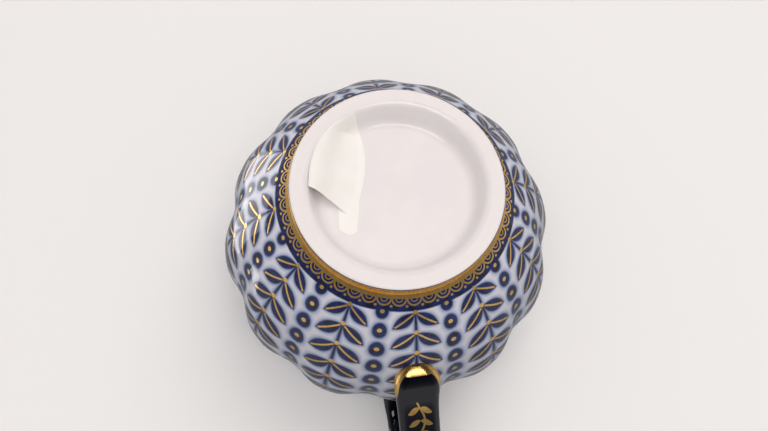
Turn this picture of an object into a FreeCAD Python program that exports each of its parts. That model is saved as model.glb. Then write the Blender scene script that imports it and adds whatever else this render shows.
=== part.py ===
import FreeCAD, Part
import math
import os

import Sketcher
from FreeCAD import Placement, Rotation, Vector

# A fluted porcelain teapot, standing upright: +Z up, the origin in the middle of the foot's
# rest plane, the spout towards +X and the handle towards -X. Lengths are in millimetres.

# Driving sizes
SIZES = {
    # Foot and base
    "foot_diameter": 72.0,
    "foot_height": 5.0,
    "foot_rest_width": 3.2,
    "foot_edge_radius": 1.0,
    "foot_roll_width": 2.6,
    "foot_roll_height": 1.56,
    "foot_wall_slope": 1.83,
    "recess_depth": 7.0,
    "recess_cove": 3.3,
    "base_thickness": 4.0,
    # Fluted bowl
    "belly_diameter": 124.0,
    "belly_height": 56.0,
    "shoulder_height": 97.0,
    "shoulder_diameter": 79.0,
    "wall": 3.4,
    "lobe_count": 12,
    "lobe_depth": 2.8,
    # Mouth collar, with the ledge that the lid rests on
    "ledge_height": 2.4,
    "lip_height": 2.4,
    "lip_thickness": 3.4,
    "lip_round": 1.2,
    "ledge_width": 4.6,
    # Lid
    "lid_clearance": 0.4,
    "lid_rise": 15.0,
    "lid_lobe_depth": 1.1,
    "lid_thickness": 3.6,
    "flange_thickness": 2.8,
    "flange_depth": 9.0,
    "vent_diameter": 3.0,
    "vent_distance": 19.0,
    # Knob
    "knob_base_diameter": 17.0,
    "knob_foot_height": 1.0,
    "knob_waist_diameter": 9.0,
    "knob_waist_height": 5.5,
    "knob_bud_diameter": 19.0,
    "knob_bud_height": 12.0,
    "knob_tip_diameter": 4.4,
    "knob_height": 21.0,
    # Spout
    "spout_root_height": 52.0,
    "spout_root_inset": 20.0,
    "spout_bend_reach": 4.0,
    "spout_root_width": 25.0,
    "spout_root_depth": 30.0,
    "spout_tip_height": 95.0,
    "spout_tip_diameter": 13.8,
    "spout_tip_reach": 20.5,
    "spout_wall": 2.7,
    "strainer_hole_diameter": 3.6,
    "strainer_pitch": 6.0,
    "strainer_rise": 7.5,
    # Handle
    "strap_width": 14.0,
    "strap_thickness": 8.0,
    "strap_corner_radius": 3.2,
    "strap_end_width": 16.0,
    "strap_end_round": 6.5,
    "strap_flare_length": 26.0,
    "strap_bite": 0.8,
    "handle_root_inset": 6.0,
    "finger_gap": 27.0,
    "handle_upper_height": 84.0,
    "handle_crest_height": 93.0,
    "handle_bulge_height": 73.0,
    "handle_knee_height": 49.0,
    "handle_knee_gap": 13.0,
    "handle_lower_height": 24.0,
    # Paper label in the foot's recess
    "label_length": 34.4,
    "label_start": 15.4,
    "label_offset": 13.4,
    "label_turn": 10.0,
    "label_near_width": 14.6,
    "label_near_slant": 13.5,
    "label_near_lift": 5.2,
    "label_far_width": 5.2,
    "label_far_slant": 0.6,
    "label_far_lift": 3.6,
    "label_thickness": 0.3,
}

SHEET = "Sizes"

# Shape shares: the bends of a quarter circle, of the foot's rolled edge and of the knob's arcs, the lobes'
# outline, the steps along a loft, the spout's taper and curve, how far the handle's round end narrows and
# thins and how round its corners may get there, the part of the label that is stuck down, and how far a
# cutting form passes the face that it cuts
QUARTER = math.sqrt(0.5)
FOOT_ROLL = 0.97
KNOB_SWELL = 0.9
KNOB_CROWN = 0.85
KNOB_TIP = math.sqrt(1.25)
POINTS_PER_LOBE = 8
VALLEY_SHARPNESS = 1.5
PROFILE_STEPS = 5
DOME_STEPS = 6
SPOUT_STEPS = 7
SPOUT_TAPER = 1.4
SPOUT_LOW_BEND = 0.14
SPOUT_HIGH_BEND = 0.56
HANDLE_STEPS = 16
END_STEPS = 5
END_ROUNDING = 0.96
CORNER_LIMIT = 0.45
STUCK_SHARE = 0.2
OVERSHOOT = 1.0

doc = FreeCAD.newDocument("Teapot")
sheet = doc.addObject("Spreadsheet::Sheet", SHEET)
for row, (alias, value) in enumerate(SIZES.items(), 1):
    sheet.set(f"A{row}", alias)
    sheet.set(f"B{row}", str(value))
    sheet.setAlias(f"B{row}", alias)
doc.recompute()


def size(alias):
    """A driving size, read from the sheet."""
    return float(getattr(sheet, alias))


def cells(expression):
    """An expression in which each driving size is written with its sheet's name."""
    words = expression.split()
    return " ".join(f"{SHEET}.{word}" if word in SIZES else word for word in words)


def number(expression):
    """The value of an expression of driving sizes."""
    return float(sheet.evalExpression(cells(expression)))


# Turned pieces


def origin_plane(body, role):
    """One of a body's own origin planes."""
    return next(plane for plane in body.Origin.OriginFeatures if plane.Role == role)


def add_run(sketch, start, end, bend):
    """A straight run, or an arc whose radius is the bend times the chord.

    The arc turns left where the bend is positive and right where it is negative.
    Returns the run's index and the numbers of its points at the start and at the end.
    """
    if bend is None:
        return sketch.addGeometry(Part.LineSegment(start, end), False), 1, 2
    chord = end - start
    radius = abs(bend) * chord.Length
    side = Vector(-chord.y, chord.x, 0).normalize()
    reach = math.sqrt(radius ** 2 - (chord.Length / 2) ** 2)
    centre = (start + end) * 0.5 + side * math.copysign(reach, bend)
    from_start = math.atan2(start.y - centre.y, start.x - centre.x)
    from_end = math.atan2(end.y - centre.y, end.x - centre.x)
    circle = Part.Circle(centre, Vector(0, 0, 1), radius)
    if bend > 0:
        return sketch.addGeometry(Part.ArcOfCircle(circle, from_start, from_end), False), 1, 2
    return sketch.addGeometry(Part.ArcOfCircle(circle, from_end, from_start), False), 2, 1


def hold(sketch, expression, *constraint):
    """Add a constraint to a sketch and bind its value to an expression of driving sizes."""
    place = sketch.addConstraint(Sketcher.Constraint(*constraint, number(expression)))
    sketch.setExpression(f"Constraints[{place}]", cells(expression))


def turned_body(label, outline):
    """A piece turned about the axis.

    The outline lists its corners, each with its radius, its height and the bend of the run to
    the next corner: None if that run is straight.
    """
    body = doc.addObject("PartDesign::Body", label)
    sketch = body.newObject("Sketcher::SketchObject", label + "_outline")
    sketch.AttachmentSupport = [(origin_plane(body, "XZ_Plane"), "")]
    sketch.MapMode = "FlatFace"
    following = outline[1:] + outline[:1]
    runs = []
    for (radius, height, bend), (next_radius, next_height, _) in zip(outline, following):
        start = Vector(number(radius), number(height), 0)
        end = Vector(number(next_radius), number(next_height), 0)
        runs.append(add_run(sketch, start, end, bend))
    for (run, _, last), (next_run, next_first, _) in zip(runs, runs[1:] + runs[:1]):
        sketch.addConstraint(Sketcher.Constraint("Coincident", run, last, next_run, next_first))
    for (run, first, _), corner, next_corner in zip(runs, outline, following):
        radius, height, bend = corner
        hold(sketch, radius, "DistanceX", -1, 1, run, first)
        hold(sketch, height, "DistanceY", -1, 1, run, first)
        if bend is not None:
            out = f"( {next_corner[0]} - ( {radius} ) ) ^ 2"
            rise = f"( {next_corner[1]} - ( {height} ) ) ^ 2"
            hold(sketch, f"{abs(bend)} * sqrt( {out} + {rise} )", "Radius", run)
    turn = body.newObject("PartDesign::Revolution", label + "_turn")
    turn.Profile = sketch
    turn.ReferenceAxis = (sketch, ["V_Axis"])
    turn.Angle = 360
    return body


# Fluted forms


def part_object(label, shape):
    """A piece, or a form that cuts one, whose shape is worked out from the driving sizes."""
    piece = doc.addObject("Part::Feature", label)
    piece.Shape = shape
    return piece


def cut(label, base, tool):
    """A piece with another form taken out of it; the cut has to take something away."""
    result = doc.addObject("Part::Cut", label)
    result.Base = base
    result.Tool = tool
    doc.recompute()
    assert result.Shape.Volume < base.Shape.Volume - 1e-3, f"{label} cuts nothing"
    return result


def lobed_wire(height, crest_radius, depth):
    """A level outline of rounded lobes, with a crest on +X and narrower valleys between the crests."""
    lobes = int(size("lobe_count"))
    edges = []
    for lobe in range(lobes):
        points = []
        for step in range(POINTS_PER_LOBE + 1):
            turn = 2 * math.pi * (lobe - 0.5 + step / POINTS_PER_LOBE) / lobes
            valley = (0.5 - 0.5 * math.cos(lobes * turn)) ** VALLEY_SHARPNESS
            radius = crest_radius - depth * valley
            points.append(Vector(radius * math.cos(turn), radius * math.sin(turn), height))
        ends = [Vector(-point.y, point.x, 0).normalize() for point in (points[0], points[-1])]
        curve = Part.BSplineCurve()
        curve.interpolate(Points=points, InitialTangent=ends[0], FinalTangent=ends[1])
        edges.append(curve.toShape())
    return Part.Wire(edges)


def fading(share):
    """How much of the lobes' depth is left at a share of the way from the belly to a round end."""
    return (1 - share ** 2) ** 2


class BowlProfile:
    """Half an upright section of the bowl: two quarter ellipses that meet at the belly."""

    def __init__(self, inset):
        """Args: inset: how far inside the outer face this profile lies."""
        self.belly_height = size("belly_height")
        belly_radius = size("belly_diameter") / 2
        self.radius = belly_radius - inset
        low_share = size("foot_diameter") / 2 / belly_radius
        high_share = size("shoulder_diameter") / 2 / belly_radius
        low_reach = self.belly_height - size("foot_height")
        high_reach = size("shoulder_height") - self.belly_height
        self.low_axis = low_reach / math.sqrt(1 - low_share ** 2) - inset
        self.high_axis = high_reach / math.sqrt(1 - high_share ** 2) - inset

    def slope_angle(self, height):
        """The ellipse's own angle at a height, below zero under the belly."""
        rise = height - self.belly_height
        return math.asin(rise / (self.low_axis if rise < 0 else self.high_axis))

    def at_angle(self, angle):
        """The crest's radius and height at an angle of the ellipse."""
        axis = self.low_axis if angle < 0 else self.high_axis
        return self.radius * math.cos(angle), self.belly_height + axis * math.sin(angle)

    def at_height(self, height):
        """The crest's radius at a height."""
        return self.at_angle(self.slope_angle(height))[0]

    def outward(self, height):
        """The unit normal at a height, as its outward and upward shares."""
        angle = self.slope_angle(height)
        axis = self.low_axis if angle < 0 else self.high_axis
        normal = Vector(math.cos(angle) / self.radius, 0, math.sin(angle) / axis)
        normal.normalize()
        return normal

    def solid(self, bottom, top, steps):
        """The lobed solid between two heights; the lobes fade out at the foot and the shoulder."""
        low = self.slope_angle(bottom)
        high = self.slope_angle(top)
        low_end = self.slope_angle(size("foot_height"))
        high_end = self.slope_angle(size("shoulder_height"))
        angles = [low * (1 - step / steps) for step in range(steps)]
        angles += [high * step / steps for step in range(steps + 1)]
        wires = []
        for angle in angles:
            share = min(1, angle / (low_end if angle < 0 else high_end))
            radius, height = self.at_angle(angle)
            wires.append(lobed_wire(height, radius, size("lobe_depth") * fading(share)))
        return Part.makeLoft(wires, True, False)


outside = BowlProfile(0)
inside = BowlProfile(size("wall"))
bowl_form = part_object(
    "bowl_form", outside.solid(size("foot_height"), size("shoulder_height"), PROFILE_STEPS)
)
floor_height = size("recess_depth") + size("base_thickness")
cavity_form = part_object(
    "cavity_form", inside.solid(floor_height, size("shoulder_height") + OVERSHOOT, PROFILE_STEPS)
)

# The base's recess, with a cove where its wall meets the base
rest_inner = "foot_diameter / 2 - foot_edge_radius - foot_rest_width"
wall_run = rest_inner + " - foot_roll_width - foot_wall_slope"
recess_form = turned_body("recess_form", [
    ("0", f"foot_height - {OVERSHOOT}", None),
    (wall_run, f"foot_height - {OVERSHOOT}", None),
    (wall_run, "foot_height", FOOT_ROLL),
    (wall_run + " - recess_cove", "recess_depth", None),
    ("0", "recess_depth", None),
])

# Strainer: one hole in the middle and six around it, through the wall behind the spout
strainer_places = [(0.0, 0.0)]
for index in range(6):
    turn = math.radians(60 * index)
    strainer_places.append((math.cos(turn), math.sin(turn)))
strainer_holes = []
for index, (across, along) in enumerate(strainer_places):
    hole = doc.addObject("Part::Cylinder", f"strainer_hole_{index}")
    hole.setExpression("Radius", cells("strainer_hole_diameter / 2"))
    hole.setExpression("Height", cells("belly_diameter / 4 + spout_tip_reach"))
    hole.Placement = Placement(Vector(0, 0, 0), Rotation(Vector(0, 1, 0), 90))
    hole.setExpression("Placement.Base.x", cells("belly_diameter / 4"))
    hole.setExpression("Placement.Base.y", cells(f"strainer_pitch * {across:.6f}"))
    hole.setExpression(
        "Placement.Base.z", cells(f"spout_root_height + strainer_rise + strainer_pitch * {along:.6f}")
    )
    strainer_holes.append(hole)
strainer = doc.addObject("Part::Compound", "strainer")
strainer.Links = strainer_holes
doc.recompute()

hollow_bowl = cut("hollow_bowl", bowl_form, cavity_form)
recessed_bowl = cut("recessed_bowl", hollow_bowl, recess_form)
body_shell = cut("body_shell", recessed_bowl, strainer)

# Foot: a flat rest face, a rounded outer edge, and an inner edge that rolls into a sloping wall
foot_ring = turned_body("foot_ring", [
    ("foot_diameter / 2 - foot_edge_radius", "0", QUARTER),
    ("foot_diameter / 2", "foot_edge_radius", None),
    ("foot_diameter / 2", "foot_height", None),
    (wall_run, "foot_height", None),
    (rest_inner + " - foot_roll_width", "foot_roll_height", FOOT_ROLL),
    (rest_inner, "0", None),
])

# Mouth collar: a ledge for the lid inside a rounded lip
lip_inner = "shoulder_diameter / 2 - lip_thickness"
bore = lip_inner + " - ledge_width"
lip_top = "shoulder_height + ledge_height + lip_height"
mouth_collar = turned_body("mouth_collar", [
    (bore, "shoulder_height", None),
    ("shoulder_diameter / 2", "shoulder_height", None),
    ("shoulder_diameter / 2", lip_top + " - lip_round", QUARTER),
    ("shoulder_diameter / 2 - lip_round", lip_top, None),
    (lip_inner + " + lip_round", lip_top, QUARTER),
    (lip_inner, lip_top + " - lip_round", None),
    (lip_inner, "shoulder_height + ledge_height", None),
    (bore, "shoulder_height + ledge_height", None),
])

# Lid: a fluted dome that lies on the ledge, hollow below, with a steam vent
seat = "shoulder_height + ledge_height"
lid_run = lip_inner + " - lid_clearance"
flange_outer = bore + " - lid_clearance"
flange_inner = flange_outer + " - flange_thickness"
crown_rise = f"lid_rise * sqrt( 1 - ( knob_base_diameter / 2 / ( {lid_run} ) ) ^ 2 )"


def dome(radius, rise, flat_radius, depth, base_height, steps):
    """A lobed dome: a quarter ellipse from its rim up to a flat top."""
    top_angle = math.acos(flat_radius / radius)
    wires = []
    for step in range(steps + 1):
        share = step / steps
        angle = top_angle * share
        height = base_height + rise * math.sin(angle)
        wires.append(lobed_wire(height, radius * math.cos(angle), depth * fading(2 * share - 1)))
    return Part.makeLoft(wires, True, False)


lid_form = part_object("lid_form", dome(
    number(lid_run), size("lid_rise"), size("knob_base_diameter") / 2, size("lid_lobe_depth"),
    number(seat), DOME_STEPS,
))
lid_hollow_form = doc.addObject("Part::Ellipsoid", "lid_hollow_form")
lid_hollow_form.setExpression("Radius1", cells(f"{crown_rise} - lid_thickness"))
lid_hollow_form.setExpression("Radius2", cells(flange_inner))
lid_hollow_form.setExpression("Radius3", cells(flange_inner))
lid_hollow_form.setExpression("Placement.Base.z", cells(seat))
vent = doc.addObject("Part::Cylinder", "vent")
vent.setExpression("Radius", cells("vent_diameter / 2"))
vent.setExpression("Height", cells("lid_rise + 2 * ledge_height"))
vent.setExpression("Placement.Base.x", cells("- vent_distance"))
vent.setExpression("Placement.Base.z", cells(seat))
doc.recompute()
hollow_lid = cut("hollow_lid", lid_form, lid_hollow_form)
lid_dome = cut("lid_dome", hollow_lid, vent)

lid_flange = turned_body("lid_flange", [
    (flange_inner, seat + " - flange_depth", None),
    (flange_outer, seat + " - flange_depth", None),
    (flange_outer, seat, None),
    (flange_inner, seat, None),
])

# Knob: a spreading foot, a waist and a bud with a small rounded tip
knob_low = f"{seat} + {crown_rise}"
lid_knob = turned_body("lid_knob", [
    ("0", knob_low, None),
    ("knob_base_diameter / 2", knob_low, None),
    ("knob_base_diameter / 2", knob_low + " + knob_foot_height", -QUARTER),
    ("knob_waist_diameter / 2", knob_low + " + knob_waist_height", KNOB_SWELL),
    ("knob_bud_diameter / 2", knob_low + " + knob_bud_height", KNOB_CROWN),
    ("knob_tip_diameter / 2", knob_low + " + knob_height - knob_tip_diameter / 4", KNOB_TIP),
    ("0", knob_low + " + knob_height", None),
])

# Spout: a curved taper with an even wall, cut to the bowl's face at its root


def station_frame(place, direction):
    """A placement whose local Z follows a direction in the XZ plane and whose local X is across, +Y."""
    across = Vector(0, 1, 0)
    upright = direction.cross(across)
    return Placement(place, Rotation(across, upright, direction, "XYZ"))


spout_line = Part.BezierCurve()
belly_radius = size("belly_diameter") / 2
tip_place = Vector(belly_radius + size("spout_tip_reach"), 0, size("spout_tip_height"))
root_place = Vector(belly_radius - size("spout_root_inset"), 0, size("spout_root_height"))
spout_rise = size("spout_tip_height") - size("spout_root_height")
spout_line.setPoles([
    root_place,
    Vector(belly_radius + size("spout_bend_reach"), 0, root_place.z + SPOUT_LOW_BEND * spout_rise),
    Vector(belly_radius + size("spout_bend_reach"), 0, root_place.z + SPOUT_HIGH_BEND * spout_rise),
    tip_place,
])


def spout_solid(inset, overrun):
    """The spout's taper, inset by a wall, along its line and on past the tip by an overrun over 1."""
    wires = []
    for step in range(SPOUT_STEPS + 1):
        share = overrun * step / SPOUT_STEPS
        clamped = min(1, share)
        taken = 1 - (1 - clamped) ** SPOUT_TAPER
        tip = size("spout_tip_diameter")
        across = (size("spout_root_width") + (tip - size("spout_root_width")) * taken) / 2 - inset
        upright = (size("spout_root_depth") + (tip - size("spout_root_depth")) * taken) / 2 - inset
        direction = spout_line.tangent(clamped)[0]
        place = spout_line.value(clamped) + direction * (share - clamped) * spout_rise
        ellipse = Part.Ellipse(Vector(0, 0, 0), max(across, upright), min(across, upright))
        wire = Part.Wire(ellipse.toShape())
        if upright > across:
            wire.rotate(Vector(0, 0, 0), Vector(0, 0, 1), 90)
        wire.Placement = station_frame(place, direction).multiply(wire.Placement)
        wires.append(wire)
    return Part.makeLoft(wires, True, False)


spout_form = part_object("spout_form", spout_solid(0, 1))
spout_bore = part_object("spout_bore", spout_solid(size("spout_wall"), 1 + OVERSHOOT / spout_rise))
spout_tube = cut("spout_tube", spout_form, spout_bore)
spout = cut("spout", spout_tube, bowl_form)


# Handle: a strap that springs from the shoulder and lies against the bowl at its lower end


def seat_point(height, offset):
    """A point on the handle's side, off the bowl's outer face by an offset."""
    normal = outside.outward(height)
    return Vector(-outside.at_height(height) - normal.x * offset, 0, height + normal.z * offset)


strap_half = size("strap_thickness") / 2
strap_lie = strap_half - size("strap_bite")
upper_height = size("handle_upper_height")
lower_height = size("handle_lower_height")
outer_line = belly_radius + size("finger_gap") + strap_half
upper_root = Vector(size("handle_root_inset") - outside.at_height(upper_height), 0, upper_height)
crest_reach = (outside.at_height(upper_height) + outer_line) / 2
handle_line = Part.BSplineCurve()
handle_line.interpolate(Points=[
    upper_root,
    Vector(-crest_reach, 0, size("handle_crest_height")),
    Vector(-outer_line, 0, size("handle_bulge_height")),
    Vector(-belly_radius - size("handle_knee_gap") - strap_half, 0, size("handle_knee_height")),
    seat_point(lower_height + 2 * size("strap_end_round"), strap_lie),
    seat_point(lower_height + size("strap_end_round") / 2, strap_lie),
])


def strap_wire(width, thickness, corner):
    """A rounded rectangle about the origin, across X and thick along Y."""
    half_width = width / 2 - corner
    half_thickness = thickness / 2 - corner
    quarter_mid = corner * QUARTER
    edges = []
    for turn in range(4):
        across, along = (half_width, half_thickness) if turn % 2 == 0 else (half_thickness, half_width)
        spin = Rotation(Vector(0, 0, 1), 90 * turn)
        side_start = spin.multVec(Vector(across + corner, -along, 0))
        side_end = spin.multVec(Vector(across + corner, along, 0))
        arc_middle = spin.multVec(Vector(across + quarter_mid, along + quarter_mid, 0))
        arc_end = spin.multVec(Vector(across, along + corner, 0))
        edges.append(Part.LineSegment(side_start, side_end).toShape())
        edges.append(Part.Arc(side_end, arc_middle, arc_end).toShape())
    return Part.Wire(edges)


def smooth(share):
    """A share from 0 to 1 that starts and ends gently."""
    share = max(0, min(1, share))
    return share * share * (3 - 2 * share)


def handle_solid():
    """The strap along its line: it flares towards its lower end, which is round in plan and in thickness."""
    length = handle_line.length()
    end_round = size("strap_end_round")
    distances = [(length - end_round) * step / HANDLE_STEPS for step in range(HANDLE_STEPS + 1)]
    for step in range(1, END_STEPS + 1):
        distances.append(length - end_round * (1 - math.sin(math.pi / 2 * step / END_STEPS)))
    wires = []
    for distance in distances:
        flare = smooth(1 - (length - distance) / size("strap_flare_length"))
        width = size("strap_width") + (size("strap_end_width") - size("strap_width")) * flare
        into_end = max(0, distance - length + end_round) / end_round
        rounding = math.sqrt(1 - END_ROUNDING * into_end ** 2)
        width *= rounding
        thickness = size("strap_thickness") * rounding
        corner = min(size("strap_corner_radius"), CORNER_LIMIT * thickness)
        parameter = handle_line.parameterAtDistance(distance, handle_line.FirstParameter)
        direction = handle_line.tangent(parameter)[0]
        wire = strap_wire(width, thickness, corner)
        to_bowl = Placement(Vector(0, (size("strap_thickness") - thickness) / 2, 0), Rotation())
        wire.Placement = station_frame(handle_line.value(parameter), direction).multiply(to_bowl)
        wires.append(wire)
    return Part.makeLoft(wires, True, False)


handle_form = part_object("handle_form", handle_solid())
handle = cut("handle", handle_form, bowl_form)

# Label: a paper strip stuck to the base along one long side, its other long side curled away


def arc_point(centre, radius, angle):
    """A point of an arc in the YZ plane, at an angle from straight down for a radius above zero."""
    return centre + Vector(0, math.sin(angle), -math.cos(angle)) * radius


def label_section(width, lift):
    """The strip's section in the YZ plane: stuck flat, then lifted by two arcs that curve opposite ways."""
    stuck = STUCK_SHARE * width
    run = width - stuck
    bend = 2 * math.atan(lift / run)
    radius = run / (2 * math.sin(bend))
    first_centre = Vector(0, stuck, radius)
    last_centre = Vector(0, width, lift - radius)
    edges = []
    ends = []
    for offset in (0, size("label_thickness")):
        flat_start = Vector(0, 0, offset)
        flat_end = Vector(0, stuck, offset)
        rise_middle = arc_point(first_centre, radius - offset, bend / 2)
        join = arc_point(first_centre, radius - offset, bend)
        crown_middle = arc_point(last_centre, -radius - offset, bend / 2)
        loose_end = arc_point(last_centre, -radius - offset, 0)
        edges.append(Part.LineSegment(flat_start, flat_end).toShape())
        edges.append(Part.Arc(flat_end, rise_middle, join).toShape())
        edges.append(Part.Arc(join, crown_middle, loose_end).toShape())
        ends.append((flat_start, loose_end))
    for corners in zip(*ends):
        edges.append(Part.LineSegment(*corners).toShape())
    return Part.Wire(Part.__sortEdges__(edges))


def label_solid():
    """The strip between its near and its far section, which both slant across it."""
    sections = []
    for place, end in ((0, "near"), (size("label_length"), "far")):
        width = size(f"label_{end}_width")
        slant = size(f"label_{end}_slant")
        section = label_section(math.hypot(width, slant), size(f"label_{end}_lift"))
        turn = Rotation(Vector(0, 0, 1), -math.degrees(math.atan2(slant, width)))
        section.Placement = Placement(Vector(place, 0, 0), turn)
        sections.append(section)
    return Part.makeLoft(sections, True, True)


paper_label = part_object("paper_label", label_solid())
over_base = Rotation(Vector(0, 0, 1), size("label_turn")).multiply(Rotation(Vector(1, 0, 0), 180))
paper_label.Placement = Placement(
    over_base.multVec(Vector(-size("label_start"), size("label_offset"), 0))
    + Vector(0, 0, size("recess_depth")),
    over_base,
)

# Check every object, then write each piece to its own file
PIECES = [
    body_shell, foot_ring, mouth_collar, spout, handle, lid_dome, lid_flange, lid_knob, paper_label,
]
doc.recompute()
for item in doc.Objects:
    assert not {"Invalid", "Error"} & set(item.State), f"{item.Label} failed"
for piece in PIECES:
    assert not piece.Shape.isNull() and piece.Shape.isValid(), f"{piece.Label} is not a valid shape"
    assert len(piece.Shape.Solids) == 1, f"{piece.Label} is not one solid"
os.makedirs("parts", exist_ok=True)
for piece in PIECES:
    piece.Shape.exportStep(f"parts/{piece.Label}.step")
    print(f"{piece.Label}: {piece.Shape.Volume / 1000:.2f} cm3")
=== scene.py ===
"""The looks of a fluted porcelain teapot: its painted glaze, its paper label, the light and the camera."""
import logging
import math
from dataclasses import dataclass, field
from enum import Enum
from typing import Callable, Union

import bpy
from mathutils import Matrix, Vector


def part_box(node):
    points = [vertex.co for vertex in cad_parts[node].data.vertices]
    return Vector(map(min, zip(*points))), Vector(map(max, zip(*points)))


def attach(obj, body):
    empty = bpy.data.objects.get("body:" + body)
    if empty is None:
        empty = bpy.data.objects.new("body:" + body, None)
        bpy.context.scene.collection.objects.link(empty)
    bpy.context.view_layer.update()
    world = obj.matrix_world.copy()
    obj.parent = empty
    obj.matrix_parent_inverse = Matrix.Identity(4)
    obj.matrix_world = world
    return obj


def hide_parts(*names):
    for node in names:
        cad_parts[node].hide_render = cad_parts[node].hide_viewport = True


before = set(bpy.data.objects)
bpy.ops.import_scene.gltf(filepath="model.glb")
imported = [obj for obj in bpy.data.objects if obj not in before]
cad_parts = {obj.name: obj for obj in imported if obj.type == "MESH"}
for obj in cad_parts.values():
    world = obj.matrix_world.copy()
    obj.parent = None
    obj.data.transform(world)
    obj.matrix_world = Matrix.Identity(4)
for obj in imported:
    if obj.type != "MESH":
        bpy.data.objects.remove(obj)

log = logging.getLogger("teapot")

MM = 0.001
PHOTO_WIDTH = 768
SENSOR_WIDTH = 36.0
NOISE_MIDDLE = 0.5
LINE_SOFT = 0.06
EDGE_SOFT = 0.08

Number = Union[float, "Field"]
Place = tuple[float, float, float]


def linear(hex_colour: str) -> tuple[float, float, float, float]:
    """Turn an sRGB hex colour into linear light.

    Args:
        hex_colour: the colour as "#rrggbb".

    Returns:
        The linear red, green and blue, with an alpha of 1.
    """
    channels = [int(hex_colour[place:place + 2], 16) / 255 for place in (1, 3, 5)]
    light = [c / 12.92 if c <= 0.04045 else ((c + 0.055) / 1.055) ** 2.4 for c in channels]
    return (light[0], light[1], light[2], 1.0)


def add_node(
    tree: bpy.types.NodeTree,
    kind: str,
    settings: dict | None = None,
    inputs: dict | None = None,
    output: int | str | None = 0,
) -> bpy.types.NodeSocket | None:
    """Add a shader node with its settings and links.

    Args:
        tree: the node tree that the node joins.
        kind: the node's type, such as "ShaderNodeMath".
        settings: the node's own properties.
        inputs: a number, colour or socket for each input that is set, by name or place.
        output: the output to hand back, by name or place, or None for a node that has none.

    Returns:
        That output's socket.
    """
    node = tree.nodes.new(kind)
    for name, value in (settings or {}).items():
        setattr(node, name, value)
    for key, value in (inputs or {}).items():
        value = value.socket if isinstance(value, Field) else value
        if isinstance(value, bpy.types.NodeSocket):
            tree.links.new(value, node.inputs[key])
        else:
            node.inputs[key].default_value = value
    return None if output is None else node.outputs[output]


class Field:
    """A number that varies over a surface, worked out by shader nodes from plain arithmetic."""

    def __init__(self, tree: bpy.types.NodeTree, socket: bpy.types.NodeSocket) -> None:
        """Hold the socket that gives the number."""
        self.tree = tree
        self.socket = socket

    def combine(self, operation: str, *others: Number) -> "Field":
        """Join this number with others.

        Args:
            operation: the arithmetic, by its name in Blender.
            others: the other numbers that it takes.

        Returns:
            The result as a new field.
        """
        inputs = dict(enumerate((self, *others)))
        return Field(self.tree, add_node(self.tree, "ShaderNodeMath", {"operation": operation}, inputs))

    def __add__(self, other: Number) -> "Field":
        """Sum."""
        return self.combine("ADD", other)

    def __sub__(self, other: Number) -> "Field":
        """Difference."""
        return self.combine("SUBTRACT", other)

    def __rsub__(self, other: float) -> "Field":
        """Difference from a plain number."""
        return self.combine("MULTIPLY_ADD", -1.0, other)

    def __mul__(self, other: Number) -> "Field":
        """Product."""
        return self.combine("MULTIPLY", other)

    def __truediv__(self, other: Number) -> "Field":
        """Quotient."""
        return self.combine("DIVIDE", other)

    def __abs__(self) -> "Field":
        """Size without sign."""
        return self.combine("ABSOLUTE")

    def __or__(self, other: Number) -> "Field":
        """The greater of two numbers, which joins two shapes."""
        return self.combine("MAXIMUM", other)

    def __and__(self, other: Number) -> "Field":
        """The smaller of two numbers, which keeps what two shapes share."""
        return self.combine("MINIMUM", other)

    def above(self, edge: float, soft: float) -> "Field":
        """A share that goes smoothly from 0 to 1 where the number passes an edge.

        Args:
            edge: the value in the middle of the step.
            soft: half the width of the step.

        Returns:
            The share as a new field.
        """
        inputs = {"Value": self, "From Min": edge - soft, "From Max": edge + soft}
        settings = {"interpolation_type": "SMOOTHSTEP"}
        return Field(self.tree, add_node(self.tree, "ShaderNodeMapRange", settings, inputs))

    def below(self, edge: float, soft: float) -> "Field":
        """A share that goes smoothly from 1 to 0 where the number passes an edge."""
        return 1.0 - self.above(edge, soft)

    def repeat(self, period: float) -> "Field":
        """The distance from the middle of the nearest repeat, from minus to plus half a period."""
        return ((self / period + 0.5).combine("FRACT") - 0.5) * period


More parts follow.
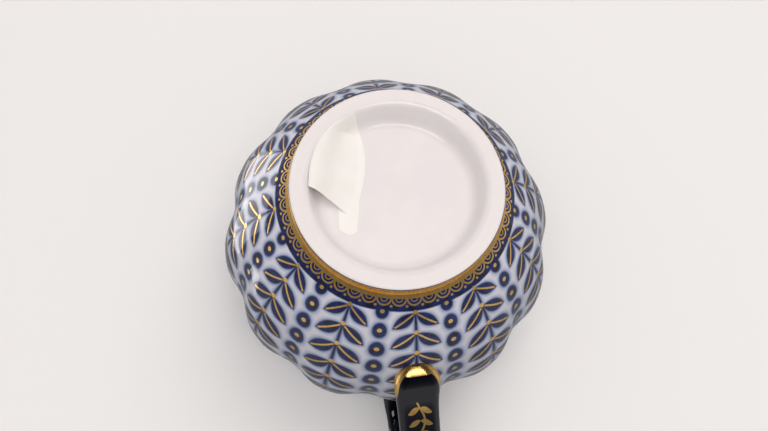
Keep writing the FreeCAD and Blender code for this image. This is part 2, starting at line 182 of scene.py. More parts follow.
class Surface:
    """Where a point of the teapot lies, in millimetres, as fields that a paint is drawn with."""

    def __init__(self, tree: bpy.types.NodeTree) -> None:
        """Read the object coordinates and the surface's own normal."""
        self.tree = tree
        metres = add_node(tree, "ShaderNodeTexCoord", output="Object")
        self.place = add_node(
            tree, "ShaderNodeVectorMath", {"operation": "SCALE"}, {0: metres, "Scale": 1 / MM}
        )
        normal = add_node(tree, "ShaderNodeTexCoord", output="Normal")
        self.x, self.y, self.z = self.split(self.place)
        self.normal_x, self.normal_y, self.normal_z = self.split(normal)
        self.radius = (self.x * self.x + self.y * self.y).combine("SQRT")
        self.turn = self.y.combine("ARCTAN2", self.x)
        off_axis = self.radius + 0.01  # never zero, also on the axis
        self.outward = (self.x * self.normal_x + self.y * self.normal_y) / off_axis

    def split(self, vector: bpy.types.NodeSocket) -> list[Field]:
        """The three parts of a vector, each as a field."""
        parts = add_node(self.tree, "ShaderNodeSeparateXYZ", inputs={0: vector})
        return [Field(self.tree, output) for output in parts.node.outputs]

    def noise(self, grain: float, detail: float = 2.0) -> Field:
        """Soft random variation.

        Args:
            grain: the size of its patches, in millimetres.
            detail: how many finer layers are added.

        Returns:
            A field around 0.5.
        """
        inputs = {"Vector": self.place, "Scale": 1 / grain, "Detail": detail}
        return Field(self.tree, add_node(self.tree, "ShaderNodeTexNoise", inputs=inputs))

    def specks(self, spacing: float, diameter: float, share: float) -> Field:
        """Sparse round specks.

        Args:
            spacing: the size of the cells that may hold a speck, in millimetres.
            diameter: the size of a speck, in millimetres.
            share: the share of the cells that hold one.

        Returns:
            A share that is 1 inside a speck.
        """
        inputs = {"Vector": self.place, "Scale": 1 / spacing}
        distance = add_node(self.tree, "ShaderNodeTexVoronoi", inputs=inputs)
        chance, _, _ = self.split(distance.node.outputs["Color"])
        inside = (Field(self.tree, distance) * spacing).below(diameter / 2, diameter / 4)
        return inside * chance.below(share, soft=0.001)


Colour = Union[tuple[float, float, float, float], bpy.types.NodeSocket]


def coat_over(tree: bpy.types.NodeTree, ground: Colour, coats: list[tuple[Number, Colour]]) -> Colour:
    """Lay coats of colour over a ground, each over the ones before it.

    Args:
        tree: the material's node tree.
        ground: the lowest colour.
        coats: for each coat, the share of it that shows and its colour.

    Returns:
        The colour that is seen.
    """
    for share, coat in coats:
        inputs = {"Factor": share, 6: ground, 7: coat}
        ground = add_node(tree, "ShaderNodeMix", {"data_type": "RGBA"}, inputs, 2)
    return ground


@dataclass
class Layers:
    """What is painted on a piece: shares from 0 to 1 of each layer, and how the cobalt lies.

    Pooling says how unevenly the cobalt lies, and thick how close it comes to black.
    """

    cobalt: Field | float = 0.0
    halo: Field | float = 0.0
    gold: Field | float = 0.0
    bare: Field | float = 0.0
    pooling: float = 1.0
    thick: float = 0.0


Paint = Callable[[Surface], Layers]


@dataclass(frozen=True)
class PaintedPorcelain:
    """Slip-cast hard porcelain, glazed and fired, with cobalt under the glaze and gold over it.

    The glaze gives sharp reflections over a white body that is faintly warm. The cobalt has run a
    little in the glaze, so its edges are soft. The gold is burnished, with crisp edges.
    """

    glaze_white: str = "#f4eeed"
    glaze_cool: str = "#efe9e9"
    iron_speck: str = "#5b4a3c"
    cobalt_deep: str = "#080d2a"
    cobalt_thin: str = "#1b2c68"
    cobalt_thick: str = "#050508"
    cobalt_halo: str = "#a9b4d6"
    gold_warm: str = "#f0b455"
    gold_bright: str = "#ffdc92"
    bare_clay: str = "#f3ecea"
    glaze_gloss: float = 0.07
    gold_gloss: float = 0.26
    clay_gloss: float = 0.45
    gloss_spread: float = 0.05
    glaze_index: float = 1.5
    patch_grain: float = 14.0
    pool_grain: float = 2.6
    brush_grain: float = 1.4
    speck_spacing: float = 9.0
    speck_diameter: float = 0.45
    speck_share: float = 0.05
    ripple_grain: float = 9.0
    ripple_height: float = 0.05

    def material(self, name: str, paint: Paint) -> bpy.types.Material:
        """Make the material of one piece.

        Args:
            name: the material's name.
            paint: the function that draws the piece's layers.

        Returns:
            The material.
        """
        material = bpy.data.materials.new(name)
        material.use_nodes = True
        tree = material.node_tree
        tree.nodes.clear()
        surface = Surface(tree)
        layers = paint(surface)
        patches = surface.noise(self.patch_grain, detail=3.0).above(NOISE_MIDDLE, soft=0.2)
        pooling = surface.noise(self.pool_grain, detail=3.0).above(NOISE_MIDDLE, soft=0.25)
        brush = surface.noise(self.brush_grain, detail=4.0)
        specks = surface.specks(self.speck_spacing, self.speck_diameter, self.speck_share)
        cobalt = coat_over(tree, linear(self.cobalt_deep), [
            (pooling * layers.pooling, linear(self.cobalt_thin)),
            (layers.thick, linear(self.cobalt_thick)),
        ])
        gold = coat_over(tree, linear(self.gold_warm), [
            (brush.above(NOISE_MIDDLE, soft=0.4), linear(self.gold_bright)),
        ])
        colour = coat_over(tree, linear(self.glaze_white), [
            (patches, linear(self.glaze_cool)),
            (specks, linear(self.iron_speck)),
            (layers.halo, linear(self.cobalt_halo)),
            (layers.cobalt, cobalt),
            (layers.bare, linear(self.bare_clay)),
            (layers.gold, gold),
        ])
        gloss = brush * self.gloss_spread + (self.glaze_gloss - self.gloss_spread / 2)
        gloss = gloss + (self.gold_gloss - gloss) * layers.gold
        gloss = gloss + (self.clay_gloss - gloss) * layers.bare
        ripple = surface.noise(self.ripple_grain, detail=1.0)
        bump = add_node(tree, "ShaderNodeBump", inputs={
            "Height": ripple, "Distance": self.ripple_height * MM, "Strength": 1.0,
        })
        inputs = {
            "Base Color": colour, "Metallic": layers.gold, "Roughness": gloss,
            "IOR": self.glaze_index, "Normal": bump,
        }
        shader = add_node(tree, "ShaderNodeBsdfPrincipled", inputs=inputs)
        add_node(tree, "ShaderNodeOutputMaterial", inputs={"Surface": shader}, output=None)
        return material


@dataclass(frozen=True)
class Garland:
    """A climbing stem with leaf pairs on each lobe, and drops in the valleys between the lobes.

    Lengths are shares of a lobe's width, so the garland narrows with the lobe and keeps its shape.
    """

    lobes: int = 12
    pitch: float = 0.34
    stem_half_width: float = 0.024
    leaf_length: float = 0.43
    leaf_half_width: float = 0.098
    leaf_slope: float = math.radians(40)
    leaf_drop: float = -0.15
    drop_half_width: float = 0.105
    drop_half_height: float = 0.14
    vein_half_width: float = 0.012
    vein_end: float = 0.35
    dot_radius: float = 0.034
    bud_place: float = 1.2
    cobalt_soft: float = 0.02
    halo_reach: float = 0.07
    gold_soft: float = 0.006

    def leaf(self, across: Field, along: Field) -> tuple[Field, Field]:
        """Draw one leaf, which rises from the stem at a slope.

        Args:
            across: the distance from the stem.
            along: the way up from the middle of the leaf's own repeat.

        Returns:
            How far inside the leaf and inside its gold vein a point lies, below zero outside.
        """
        up = along - self.leaf_drop
        reach = across * math.cos(self.leaf_slope) + up * math.sin(self.leaf_slope)
        aside = abs(up * math.cos(self.leaf_slope) - across * math.sin(self.leaf_slope))
        share = reach / self.leaf_length
        swell = share * (1.0 - share) * (4 * self.leaf_half_width)  # widest halfway along
        vein = (self.vein_half_width - aside) & (swell - self.leaf_half_width * self.vein_end)
        return swell - aside, vein

    def draw(self, turn: Field, climb: Field) -> Layers:
        """Draw the garland.

        Args:
            turn: the angle about the axis.
            climb: the way up the piece, in the same measure as the angle.

        Returns:
            The cobalt and gold layers.
        """
        lobe_angle = 2 * math.pi / self.lobes
        across = abs((turn / lobe_angle).repeat(1.0))
        along = (climb / lobe_angle).repeat(self.pitch)
        leaf, vein = self.leaf(across, along)
        for shift in (-self.pitch, self.pitch):
            next_leaf, next_vein = self.leaf(across, along + shift)
            leaf = leaf | next_leaf
            vein = vein | next_vein
        stem = self.stem_half_width - across
        from_valley = 0.5 - across
        between = (climb / lobe_angle + self.pitch / 2).repeat(self.pitch)
        wide = from_valley / self.drop_half_width
        high = between / self.drop_half_height
        drop = (1.0 - (wide * wide + high * high).combine("SQRT")) * self.drop_half_width
        shape = leaf | stem | drop
        from_middle = (from_valley * from_valley + between * between).combine("SQRT")
        dot = self.dot_radius - from_middle
        bud_along = (climb / lobe_angle + self.leaf_drop * self.bud_place).repeat(self.pitch)
        bud = self.dot_radius - (across * across + bud_along * bud_along).combine("SQRT")
        return Layers(
            cobalt=shape.above(0.0, self.cobalt_soft),
            halo=shape.above(-self.halo_reach / 2, self.halo_reach / 2),
            gold=(vein | dot | bud).above(0.0, self.gold_soft),
        )


def box_corner(node: str, high: bool, axis: int) -> float:
    """One coordinate of a corner of a CAD node's box, in millimetres."""
    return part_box(node)[int(high)][axis] / MM


def line_at(height: Field, middle: float, half_width: float, soft: float = LINE_SOFT) -> Field:
    """A painted line where a height passes a value; all in millimetres."""
    return abs(height - middle).below(half_width, soft)


def only_on(layers: Layers, where: Field) -> Layers:
    """The same layers, kept to a share of the surface."""
    return Layers(layers.cobalt * where, layers.halo * where, layers.gold * where)


def deep_cobalt(gold: Field, thick: float = 0.7) -> Layers:
    """Thick, even cobalt all over a piece, with gold on it."""
    return Layers(cobalt=1.0, gold=gold, pooling=0.12, thick=thick)


@dataclass
class Bowl:
    """The fluted bowl, its foot and its mouth collar, which are castings luted together.

    Lengths are in millimetres.
    """

    finish: PaintedPorcelain
    garland: Garland = field(default_factory=Garland)
    belly_height: float = 56.0
    belly_radius: float = field(default_factory=lambda: box_corner("body_shell", True, 0))
    foot_radius: float = field(default_factory=lambda: box_corner("foot_ring", True, 0))
    foot_height: float = field(default_factory=lambda: box_corner("body_shell", False, 2))
    shoulder_radius: float = field(default_factory=lambda: box_corner("mouth_collar", True, 0))
    shoulder_height: float = field(default_factory=lambda: box_corner("body_shell", True, 2))
    lip_height: float = field(default_factory=lambda: box_corner("mouth_collar", True, 2))
    border_height: float = 4.4
    border_scallops: int = 48
    border_line: float = 1.2
    arch_foot: float = 1.1
    arch_share: float = 0.46
    arch_half_width: float = 0.26
    inner_share: float = 0.22
    inner_half_width: float = 0.16
    dot_inset: float = 0.9
    dot_radius: float = 0.42
    outside_edge: float = 0.06
    wall_slope: float = 1.42
    field_gap: float = 0.4
    field_top: float = 3.0
    field_tint: float = 0.3
    ground_reach: float = 0.9
    neck_lines: tuple[tuple[float, float], ...] = ((2.3, 0.28), (0.9, 0.2))
    gilt_inset: float = 0.3
    gilt_height: float = 0.6
    # painted shade: where the thin cobalt line at the foot's lower edge sits, standing in for the gold's
    # dark edge
    shade_line_inset: float = 0.6
    shade_line_height: float = 0.3
    rest_reach: float = 0.05
    collar_outside: float = 0.3
    collar_line: float = 2.0
    collar_half_band: float = 1.3
    lip_depth: float = 1.25
    pole_limit: float = 0.995

    def axes(self) -> tuple[float, float]:
        """The upright half axes of the two ellipses that make the bowl's section."""
        low = self.foot_radius / self.belly_radius
        high = self.shoulder_radius / self.belly_radius
        return (
            (self.belly_height - self.foot_height) / math.sqrt(1 - low ** 2),
            (self.shoulder_height - self.belly_height) / math.sqrt(1 - high ** 2),
        )

    def upright(self, surface: Surface) -> Field:
        """The height above the belly as a share of the half axis there, below zero under the belly."""
        low, high = self.axes()
        rise = surface.z - self.belly_height
        return (rise / low & 0.0) + (rise / high | 0.0)

    def climb(self, surface: Surface) -> Field:
        """The way up the bowl, in the same measure as the angle about its axis.

        Args:
            surface: the bowl's own coordinates.

        Returns:
            A field that is 0 at the belly.
        """
        sine = (self.upright(surface) & self.pole_limit) | -self.pole_limit
        slope = sine.combine("ARCSINE")
        return (slope * 0.5 + math.pi / 4).combine("TANGENT").combine("LOGARITHM", math.e)

    def border(self, surface: Surface, above_foot: Field) -> Field:
        """Gold scallops with dots around the foot, above a gold line.

        Args:
            surface: the bowl's own coordinates.
            above_foot: the way up from the foot, in millimetres.

        Returns:
            The gold's share.
        """
        scallop_width = 2 * math.pi * self.foot_radius / self.border_scallops
        around = (surface.turn * self.foot_radius).repeat(scallop_width)
        up = above_foot - self.arch_foot
        ring = (around * around + up * up).combine("SQRT")
        arch = line_at(ring, scallop_width * self.arch_share, self.arch_half_width)
        inner = line_at(ring, scallop_width * self.inner_share, self.inner_half_width)
        arches = (arch | inner) * up.above(0.0, LINE_SOFT)
        apart = (surface.turn * self.foot_radius + scallop_width / 2).repeat(scallop_width)
        dot_up = above_foot - (self.border_height - self.dot_inset)
        dot = (apart * apart + dot_up * dot_up).combine("SQRT").below(self.dot_radius, LINE_SOFT)
        return arches | dot | above_foot.below(self.border_line, LINE_SOFT)

    def paint_shell(self, surface: Surface) -> Layers:
        """Draw the bowl: garlands on its outside, the border above the foot, and a plain inside."""
        climb = self.climb(surface)
        outside = surface.outward.above(self.outside_edge, soft=0.02)
        above_foot = (surface.z - self.foot_height) * self.wall_slope
        garland = self.garland.draw(surface.turn, climb)
        top_down = self.shoulder_height - surface.z
        field_share = above_foot.above(self.border_height + self.field_gap, soft=0.2)
        field_share = field_share * top_down.above(self.field_top, soft=0.2)
        garland.halo = garland.halo * (1 - self.field_tint) + self.field_tint
        layers = only_on(garland, outside * field_share)
        ground = above_foot.below(self.border_height + self.ground_reach, soft=0.3)
        layers.cobalt = layers.cobalt | ground * outside
        gold = self.border(surface, above_foot)
        for depth, half_width in self.neck_lines:
            gold = gold | line_at(top_down, depth, half_width)
        layers.gold = layers.gold | gold * outside
        return layers

    def paint_foot(self, surface: Surface) -> Layers:
        """Draw the foot: a gilded outer wall with a thin cobalt line of painted shade at its edge, and a
        rest face bare of glaze.
        """
        wall = surface.radius.above(self.foot_radius - self.gilt_inset, EDGE_SOFT)
        wall = wall * surface.z.above(self.gilt_height, EDGE_SOFT)
        # painted shade: a thin cobalt line along the lower edge of the gilded wall, standing in for the
        # gold's dark edge
        edge = surface.radius.above(self.foot_radius - self.shade_line_inset, EDGE_SOFT)
        edge = edge * surface.z.above(self.shade_line_height, EDGE_SOFT)
        rest = surface.z.below(self.rest_reach, soft=0.03)
        return Layers(cobalt=edge, gold=wall, bare=rest)

    def paint_collar(self, surface: Surface) -> Layers:
        """Draw the collar: a cobalt band below a gold lip."""
        outside = surface.outward.above(self.collar_outside, soft=0.05)
        middle = self.shoulder_height + self.collar_line
        band = line_at(surface.z, middle, self.collar_half_band, soft=0.25) * outside
        lip = surface.z.above(self.lip_height - self.lip_depth, LINE_SOFT)
        return Layers(cobalt=band, gold=lip)

    def dress(self) -> list[str]:
        """Give the bowl's pieces their finish.

        Returns:
            The names of the pieces.
        """
        paints = {
            "body_shell": self.paint_shell,
            "foot_ring": self.paint_foot,
            "mouth_collar": self.paint_collar,
        }
        return dress_nodes(self.finish, paints)


def dress_nodes(finish: PaintedPorcelain, paints: dict[str, Paint]) -> list[str]:
    """Give CAD nodes a painted porcelain finish.

    Args:
        finish: the porcelain.
        paints: for each node, the function that draws its layers.

    Returns:
        The nodes' names.
    """
    for node, paint in paints.items():
        material = finish.material(f"porcelain_{node}", paint)
        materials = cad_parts[node].data.materials
        materials.clear()
        materials.append(material)
    return list(paints)


@dataclass
class Lid:
    """The lid: a fluted dome, the flange below it and the knob on top. Lengths are in millimetres."""

    finish: PaintedPorcelain
    garland: Garland = field(default_factory=Garland)
    rim_radius: float = field(default_factory=lambda: box_corner("lid_dome", True, 0))
    knob_seat: float = field(default_factory=lambda: box_corner("lid_knob", False, 2))
    knob_top: float = field(default_factory=lambda: box_corner("lid_knob", True, 2))
    centre_share: float = 0.05
    upper_edge: float = 0.05
    field_inner: float = 14.2
    field_inset: float = 2.6
    band_radius: float = 11.4
    band_half_width: float = 1.7
    inner_ring: float = 13.6
    outer_ring_inset: float = 1.9
    ring_half_width: float = 0.3
    edge_inset: float = 0.9
    flange_down: float = -0.9
    petals: int = 8
    petal_height: float = 4.0
    tip_depth: float = 5.2
    waist_height: float = 5.5
    waist_half_width: float = 0.7
    knob_foot: float = 1.2

    def paint_dome(self, surface: Surface) -> Layers:
        """Draw the dome: garlands that climb to the knob between gold rings."""
        level = surface.radius / self.rim_radius | self.centre_share
        inward = level.combine("LOGARITHM", math.e) * -1.0
        garland = self.garland.draw(surface.turn, inward)
        upper = surface.normal_z.above(self.upper_edge, soft=0.03)
        share = surface.radius.above(self.field_inner, soft=0.2)
        share = share * surface.radius.below(self.rim_radius - self.field_inset, soft=0.2)
        layers = only_on(garland, upper * share)
        band = line_at(surface.radius, self.band_radius, self.band_half_width, soft=0.25)
        layers.cobalt = layers.cobalt | band * upper
        gold = surface.radius.above(self.rim_radius - self.edge_inset, EDGE_SOFT)
        for radius in (self.inner_ring, self.rim_radius - self.outer_ring_inset):
            gold = gold | line_at(surface.radius, radius, self.ring_half_width)
        layers.gold = layers.gold | gold * upper
        return layers

    def paint_flange(self, surface: Surface) -> Layers:
        """Leave the flange in plain glaze, with its lower edge bare from the kiln."""
        return Layers(bare=surface.normal_z.below(self.flange_down, soft=0.05))

    def paint_knob(self, surface: Surface) -> Layers:
        """Draw the knob: deep cobalt with a gold tip, waist and foot."""
        up = surface.z - self.knob_seat
        petal = abs((surface.turn * (self.petals / (2 * math.pi))).repeat(1.0))
        tip = (surface.z - petal * self.petal_height).above(self.knob_top - self.tip_depth, soft=0.12)
        rings = line_at(up, self.waist_height, self.waist_half_width) | up.below(self.knob_foot, EDGE_SOFT)
        return deep_cobalt(tip | rings)

    def dress(self) -> list[str]:
        """Give the lid's pieces their finish and return their names."""
        paints = {
            "lid_dome": self.paint_dome,
            "lid_flange": self.paint_flange,
            "lid_knob": self.paint_knob,
        }
        return dress_nodes(self.finish, paints)


@dataclass
class Spout:
    """The spout: deep cobalt, with gold at its tip and where it meets the bowl.

    Lengths are in millimetres.
    """

    finish: PaintedPorcelain
    bowl: Bowl
    tip_place: tuple[float, float] = (82.5, 95.0)
    tip_slope: float = math.radians(49)
    tip_depth: float = 1.9
    root_depth: float = 2.2
    line_place: float = 3.4
    line_half_width: float = 0.28

    def paint(self, surface: Surface) -> Layers:
        """Draw the spout: cobalt all over, with gold at both ends."""
        along = (surface.x - self.tip_place[0]) * math.cos(self.tip_slope)
        along = along + (surface.z - self.tip_place[1]) * math.sin(self.tip_slope)
        upright = self.bowl.upright(surface)
        level = surface.radius / self.bowl.belly_radius
        off_bowl = ((upright * upright + level * level).combine("SQRT") - 1.0) * self.bowl.belly_radius
        root_line = line_at(off_bowl, self.line_place, self.line_half_width)
        root = off_bowl.below(self.root_depth, EDGE_SOFT) | root_line
        tip_line = line_at(along, -self.line_place, self.line_half_width)
        tip = along.above(-self.tip_depth, EDGE_SOFT) | tip_line
        return deep_cobalt(root | tip)

    def dress(self) -> list[str]:
        """Give the spout its finish and return its name."""
        return dress_nodes(self.finish, {"spout": self.paint})


@dataclass
class Handle:
    """The handle: a deep cobalt strap with a gilded lower end and a gold scroll on its outer face.

    Lengths are in millimetres.
    """

    finish: PaintedPorcelain
    loop_centre: tuple[float, float] = (-64.0, 62.0)
    loop_radius: float = 31.0
    end_half_width: float = 8.0
    end_round: float = 6.5
    end_lean: float = math.radians(59.5)
    end_distance: float = 50.6
    end_band: float = 2.2
    end_share: float = 0.96
    taper_width: float = 1.8
    taper_slope: float = 0.11
    cap_reach: float = 18.0
    outer_facing: float = 0.45
    scroll_pitch: float = 11.0
    scroll_ends: tuple[float, float] = (-46.0, 44.0)
    stem_swing: float = 1.5
    stem_half_width: float = 0.32
    leaf_reach: float = 4.2
    leaf_swell: float = 5.2
    leaf_lean: float = 0.55

    def paint(self, surface: Surface) -> Layers:
        """Draw the strap: a gold band around its lower end, and a stem with leaf pairs."""
        out = (surface.x - self.loop_centre[0]) * -1.0
        up = surface.z - self.loop_centre[1]
        along = up.combine("ARCTAN2", out) * self.loop_radius
        length = (out * out + up * up).combine("SQRT")
        facing = (up * surface.normal_z - out * surface.normal_x) / length
        outer = facing.above(self.outer_facing, soft=0.1)
        side = abs(surface.y)
        wave = (along * (math.pi / self.scroll_pitch)).combine("SINE") * self.stem_swing
        stem = abs(surface.y - wave).below(self.stem_half_width, EDGE_SOFT)
        leaf_along = along.repeat(self.scroll_pitch / 2)
        reach = side / self.leaf_reach
        leaf = reach * (1.0 - reach) * self.leaf_swell - abs(leaf_along - side * self.leaf_lean)
        low_end, high_end = self.scroll_ends
        ends = along.above(low_end, soft=0.5) * along.below(high_end, soft=0.5)
        scroll = (stem | leaf.above(0.0, soft=0.1)) * outer * ends
        from_end = surface.z * math.sin(self.end_lean) - surface.x * math.cos(self.end_lean)
        from_end = from_end - self.end_distance
        into_end = (1.0 - from_end / self.end_round) | 0.0
        narrowing = (into_end * into_end & 1.0) * self.end_share
        half_width = (1.0 - narrowing).combine("SQRT") * self.end_half_width
        taper = (self.taper_width - from_end * self.taper_slope) | 0.0
        cap = from_end.below(self.end_band, soft=0.12)
        cap = cap | (half_width - side - taper).below(0.0, soft=0.12)
        cap = cap * from_end.below(self.cap_reach, soft=0.2)
        return deep_cobalt(scroll | cap, thick=0.85)

    def dress(self) -> list[str]:
        """Give the handle its finish and return its name."""
        return dress_nodes(self.finish, {"handle": self.paint})


@dataclass(frozen=True)
class LabelPaper:
    """Coated label paper: a smooth white sheet with faint clouds, fine fibre and dust specks."""

    sheet_white: str = "#fbf7f2"
    sheet_shade: str = "#f8f3ed"
    dust: str = "#4a423a"
    cloud_grain: float = 6.0
    cloud_level: float = 0.55
    speck_spacing: float = 3.2
    speck_diameter: float = 0.35
    speck_share: float = 0.16
    fibre_grain: float = 0.7
    fibre_height: float = 0.04
    gloss: float = 0.55
    gloss_spread: float = 0.2

    def material(self) -> bpy.types.Material:
        """Make the paper's material and return it."""
        material = bpy.data.materials.new("label_paper")
        material.use_nodes = True
        tree = material.node_tree
        tree.nodes.clear()
        surface = Surface(tree)
        clouds = surface.noise(self.cloud_grain, detail=3.0).above(self.cloud_level, soft=0.2)
        specks = surface.specks(self.speck_spacing, self.speck_diameter, self.speck_share)
        fibres = surface.noise(self.fibre_grain, detail=3.0)
        colour = coat_over(tree, linear(self.sheet_white), [
            (clouds, linear(self.sheet_shade)),
            (specks, linear(self.dust)),
        ])
        bump = add_node(tree, "ShaderNodeBump", inputs={
            "Height": fibres, "Distance": self.fibre_height * MM, "Strength": 0.6,
        })
        gloss = fibres * self.gloss_spread + (self.gloss - self.gloss_spread / 2)
        inputs = {"Base Color": colour, "Roughness": gloss, "Normal": bump}
        shader = add_node(tree, "ShaderNodeBsdfPrincipled", inputs=inputs)
        add_node(tree, "ShaderNodeOutputMaterial", inputs={"Surface": shader}, output=None)
        return material


@dataclass
class PaperLabel:
    """A blank paper label in the foot, stuck along one long side and curled away along the other.

    Places are in millimetres: the stuck edge lies on the base, and the loose edge stands off it. A scrap
    of the label is still stuck flat on the base below the sheet's near end.
    """

    finish: LabelPaper
    stuck_edge: tuple[Place, Place, Place] = (
        (-7.5, -16.0, 6.8), (11.5, -9.0, 6.8), (28.4, -10.8, 6.8),
    )
    loose_edge: tuple[Place, Place, Place] = (
        (3.2, -29.2, 0.5), (16.0, -25.6, 0.3), (24.8, -18.0, 0.2),
    )
    scrap_right: tuple[Place, Place] = ((-12.2, -15.0, 6.85), (-2.0, -12.9, 6.85))
    scrap_left: tuple[Place, Place] = ((-10.6, -20.7, 6.85), (-2.0, -19.9, 6.85))
    scrap_bulge: float = 1.6
    stuck_share: float = 0.12
    near_bow: float = 1.2
    crease_height: float = 0.34
    crease_waves: int = 3
    crease_fade: float = 1.2
    thickness: float = 0.16
    clearance: float = 0.22
    base_radius: float = 24.07
    base_height: float = 7.0
    wall_radius: float = 27.37
    foot_height: float = 5.0
    roll_radius: float = 29.2
    roll_height: float = 1.56
    rim_radius: float = 31.8
    rim_power: float = 2.4
    smooth_angle: float = math.radians(40)
    length_steps: int = 72
    width_steps: int = 48
    body: str = "pot"
    slot: str = "label_paper"

    @staticmethod
    def along_edge(edge: tuple[Place, Place, Place], share: float) -> Vector:
        """A point of the smooth curve through an edge's three places.

        Args:
            edge: the near, middle and far places.
            share: the way along it, from 0 to 1.

        Returns:
            The point.
        """
        near, middle, far = (Vector(place) for place in edge)
        weights = (2 * (share - 0.5) * (share - 1), 4 * share * (1 - share), 2 * share * (share - 0.5))
        return near * weights[0] + middle * weights[1] + far * weights[2]

    def place_at(self, along: float, across: float) -> Vector:
        """A point of the sheet.

        Args:
            along: the share of its length, 0 at the handle's end.
            across: the share of its width, 0 at the stuck edge.

        Returns:
            The point in millimetres.
        """
        stuck = self.along_edge(self.stuck_edge, along)
        loose = self.along_edge(self.loose_edge, along)
        point = stuck.lerp(loose, across)
        point.x += self.near_bow * math.sin(math.pi * across) * (1 - along) ** 2
        share = max(0.0, (across - self.stuck_share) / (1 - self.stuck_share))
        ramp = share * share * (3 - 2 * share)
        wave = math.sin(self.crease_waves * math.pi * share)
        crease = self.crease_height * wave * math.cos(self.crease_fade * along)
        lifted = stuck.z + (loose.z - stuck.z) * ramp - crease
        foot = self.recess_at(math.hypot(point.x, point.y)) - self.clearance
        point.z = max(self.thickness, min(lifted, foot))
        return point

    def recess_at(self, radius: float) -> float:
        """The height of the foot's inner face: its base, the cove, the wall and the rolled rim.

        Args:
            radius: the distance from the axis, in millimetres.

        Returns:
            The height above the rest plane, in millimetres.
        """
        if radius <= self.base_radius:
            return self.base_height
        if radius <= self.wall_radius:
            share = (radius - self.base_radius) / (self.wall_radius - self.base_radius)
            return self.base_height + (self.foot_height - self.base_height) * share ** 2
        if radius <= self.roll_radius:
            share = (radius - self.wall_radius) / (self.roll_radius - self.wall_radius)
            return self.foot_height + (self.roll_height - self.foot_height) * share
        share = max(0.0, (self.rim_radius - radius) / (self.rim_radius - self.roll_radius))
        return self.roll_height * share ** self.rim_power

    def scrap_at(self, along: float, across: float) -> Vector:
        """A point of the scrap.

        Args:
            along: the share of its length, 0 at its rounded near end.
            across: the share of its width, 0 at its right side.

        Returns:
            The point in millimetres.
        """
        right = Vector(self.scrap_right[0]).lerp(Vector(self.scrap_right[1]), along)
        left = Vector(self.scrap_left[0]).lerp(Vector(self.scrap_left[1]), along)
        point = right.lerp(left, across)
        point.x -= self.scrap_bulge * math.sin(math.pi * across) * (1 - along)
        return point

    def model(self, name: str, shape: Callable[[float, float], Vector]) -> bpy.types.Object:
        """Model a piece of paper from a grid, shape it and give it its thickness.

        Args:
            name: the piece's name.
            shape: the place in millimetres for each share of its length and width.

        Returns:
            The piece of paper.
        """
        bpy.ops.object.select_all(action="DESELECT")
        bpy.ops.mesh.primitive_grid_add(
            x_subdivisions=self.length_steps, y_subdivisions=self.width_steps, size=1.0
        )
        sheet = bpy.context.object
        sheet.name = name
        for vertex in sheet.data.vertices:
            vertex.co = shape(vertex.co.x + 0.5, vertex.co.y + 0.5) * MM
        sheet.data.update()
        thicken = sheet.modifiers.new("paper", "SOLIDIFY")
        thicken.thickness = self.thickness * MM
        thicken.offset = 0.0
        bpy.ops.object.modifier_apply(modifier=thicken.name)
        bpy.ops.object.mode_set(mode="EDIT")
        bpy.ops.mesh.select_all(action="SELECT")
        bpy.ops.mesh.normals_make_consistent(inside=False)
        bpy.ops.object.mode_set(mode="OBJECT")
        bpy.ops.object.shade_smooth_by_angle(angle=self.smooth_angle)
        return sheet

    def build(self) -> bpy.types.Object:
        """Model the scrap and the sheet, and join them.

        Returns:
            The finished label.
        """
        scrap = self.model("paper_label_scrap", self.scrap_at)
        sheet = self.model("paper_label_sheet", self.place_at)
        scrap.select_set(True)
        bpy.ops.object.join()
        return sheet

    def dress(self) -> list[str]:
        """Build the sheet, give it its paper and set it on the pot in place of its plain solid.

        Returns:
            The sheet's name.
        """
        sheet = self.build()
        sheet.data.materials.append(self.finish.material())
        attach(sheet, self.body)
        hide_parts("paper_label")
        return [sheet.name]


class Facing(Enum):
    """Which way a floor faces, as the sign of its normal along Z."""

    UP = 1
    DOWN = -1


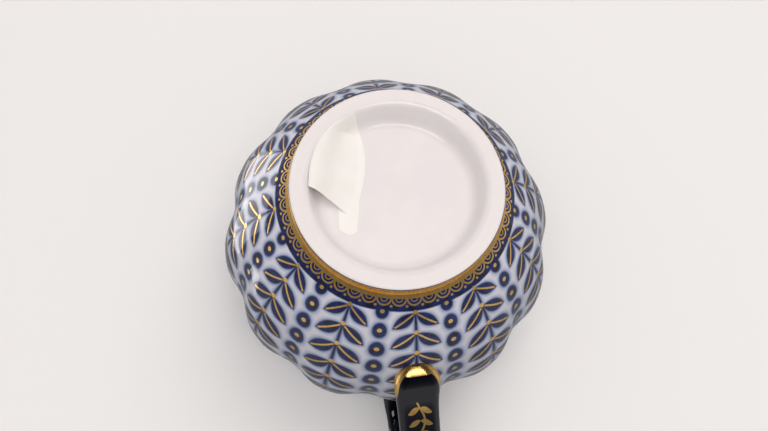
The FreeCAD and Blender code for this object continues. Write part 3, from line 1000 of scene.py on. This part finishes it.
@dataclass
class Studio:
    """A pale floor for an upright pot, a pale table for one turned over, soft lamps and the camera."""

    floor_half: float = 6.0
    table_height: float = 0.092
    pale: str = "#f7f5f3"
    backdrop: str = "#e2dfdb"
    fade_start: float = 0.3
    fade_end: float = 1.3
    camera_place: Place = (-102.4, -37.3, -253.3)
    camera_target: Place = (-10.1, -6.2, 0.0)
    camera_up_turn: float = math.radians(8.54)
    focal_pixels: float = 838.0
    world_low: float = 0.28
    world_rise: float = 0.52
    mirror_level: float = 0.75
    mirror_high: float = 0.3
    lamp_warmth: str = "#fff9f6"
    aim_height: float = 0.05
    near_clip: float = 0.01

    def floor(self, name: str, facing: Facing, height: float) -> None:
        """Lay a large plane that is seen from one side only and takes the pot's shadow.

        Far from the pot it fades into the backdrop, so no horizon shows.

        Args:
            name: the plane's name.
            facing: the side that is seen.
            height: its place along Z, in metres.
        """
        bpy.ops.object.select_all(action="DESELECT")
        bpy.ops.mesh.primitive_plane_add(size=2 * self.floor_half, location=(0, 0, 0))
        plane = bpy.context.object
        plane.name = name
        if facing is Facing.DOWN:
            plane.data.flip_normals()
        for vertex in plane.data.vertices:
            vertex.co.z = height
        material = bpy.data.materials.new(name)
        material.use_nodes = True
        tree = material.node_tree
        tree.nodes.clear()
        matte = add_node(tree, "ShaderNodeBsdfDiffuse", inputs={"Color": linear(self.pale)})
        distant = (Surface(tree).radius * MM).above(
            (self.fade_start + self.fade_end) / 2, (self.fade_end - self.fade_start) / 2
        )
        plain = add_node(tree, "ShaderNodeEmission", inputs={"Color": linear(self.backdrop)})
        matte = add_node(tree, "ShaderNodeMixShader", inputs={0: distant, 1: matte, 2: plain})
        clear = add_node(tree, "ShaderNodeBsdfTransparent")
        behind = add_node(tree, "ShaderNodeNewGeometry", output="Backfacing")
        one_sided = add_node(tree, "ShaderNodeMixShader", inputs={0: behind, 1: matte, 2: clear})
        add_node(tree, "ShaderNodeOutputMaterial", inputs={"Surface": one_sided}, output=None)
        plane.data.materials.append(material)
        plane.visible_diffuse = False
        plane.visible_glossy = False
        plane.visible_transmission = False
        plane.visible_shadow = False

    def lamp(
        self, name: str, place: Place, sides: tuple[float, float], power: float, mirrored: bool
    ) -> None:
        """Hang a soft rectangular lamp that points at the pot.

        Args:
            name: the lamp's name.
            place: where it hangs, in metres.
            sides: its level side and its other side, in metres.
            power: its power, in watts.
            mirrored: whether the glaze and the gold mirror it.
        """
        light = bpy.data.lights.new(name, "AREA")
        light.shape = "RECTANGLE"
        light.size, light.size_y = sides
        light.energy = power
        light.color = linear(self.lamp_warmth)[:3]
        lamp = bpy.data.objects.new(name, light)
        lamp.visible_camera = False
        lamp.visible_glossy = mirrored
        bpy.context.scene.collection.objects.link(lamp)
        lamp.location = place
        aim = Vector((0, 0, self.aim_height)) - Vector(place)
        lamp.rotation_euler = aim.to_track_quat("-Z", "Y").to_euler()

    def world(self) -> None:
        """Light the pot softly all round, and give its glaze a bright horizon to mirror."""
        world = bpy.data.worlds.new("studio")
        bpy.context.scene.world = world
        world.use_nodes = True
        tree = world.node_tree
        tree.nodes.clear()
        direction = add_node(tree, "ShaderNodeTexCoord", output="Generated")
        upright = add_node(tree, "ShaderNodeSeparateXYZ", inputs={0: direction}, output=2)
        strength = abs(Field(tree, upright)) * self.world_rise + self.world_low
        soft = add_node(tree, "ShaderNodeBackground", inputs={"Strength": strength})
        under = (Field(tree, upright) & 0.0) + 1.0
        over = (Field(tree, upright) | 0.0) * (self.mirror_level - self.mirror_high)
        mirror = under * under * self.mirror_level - over
        mirrored = add_node(tree, "ShaderNodeBackground", inputs={"Strength": mirror})
        glossy = add_node(tree, "ShaderNodeLightPath", output="Is Glossy Ray")
        soft = add_node(tree, "ShaderNodeMixShader", inputs={0: glossy, 1: soft, 2: mirrored})
        backdrop = add_node(tree, "ShaderNodeBackground", inputs={"Color": linear(self.backdrop)})
        seen = add_node(tree, "ShaderNodeLightPath", output="Is Camera Ray")
        mixed = add_node(tree, "ShaderNodeMixShader", inputs={0: seen, 1: soft, 2: backdrop})
        add_node(tree, "ShaderNodeOutputWorld", inputs={"Surface": mixed}, output=None)

    def camera(self) -> None:
        """Set the camera where the photograph was taken from, below the pot's foot."""
        data = bpy.data.cameras.new("photo_camera")
        data.sensor_width = SENSOR_WIDTH
        data.sensor_fit = "HORIZONTAL"
        data.lens = SENSOR_WIDTH * self.focal_pixels / PHOTO_WIDTH
        data.clip_start = self.near_clip
        camera = bpy.data.objects.new("photo_camera", data)
        bpy.context.scene.collection.objects.link(camera)
        place = Vector(self.camera_place) * MM
        forward = (Vector(self.camera_target) * MM - place).normalized()
        image_up = Vector((math.cos(self.camera_up_turn), math.sin(self.camera_up_turn), 0))
        right = forward.cross(image_up).normalized()
        up = right.cross(forward)
        turned = Matrix((right, up, -forward)).transposed().to_4x4()
        camera.matrix_world = Matrix.Translation(place) @ turned
        bpy.context.scene.camera = camera

    def build(self) -> None:
        """Lay the floors, hang the lamps and set the camera."""
        self.floor("table", Facing.DOWN, self.table_height)
        self.floor("floor", Facing.UP, 0.0)
        self.lamp("window_below", place=(0.6, 0.4, -1.25), sides=(1.1, 1.1), power=6.5, mirrored=False)
        self.lamp("ceiling_below", place=(-0.35, -0.1, -1.2), sides=(1.0, 0.32), power=4.6, mirrored=True)
        self.lamp("window_above", place=(0.9, -1.5, 0.75), sides=(1.4, 1.4), power=12.0, mirrored=True)
        self.lamp("ceiling_above", place=(0.0, 0.0, 1.6), sides=(2.0, 2.0), power=8.0, mirrored=False)
        self.world()
        self.camera()
        bpy.context.scene.view_settings.view_transform = "Standard"


def main() -> None:
    """Dress the teapot piece by piece and set the studio."""
    logging.basicConfig(level=logging.INFO, format="%(name)s: %(message)s")
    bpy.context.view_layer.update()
    porcelain = PaintedPorcelain()
    bowl = Bowl(porcelain)
    pieces = [
        bowl,
        Lid(porcelain),
        Spout(porcelain, bowl),
        Handle(porcelain),
        PaperLabel(LabelPaper()),
    ]
    for piece in pieces:
        for name in piece.dress():
            log.info("%s: dressed %s", type(piece).__name__, name)
    Studio().build()


if __name__ == "__main__":
    main()
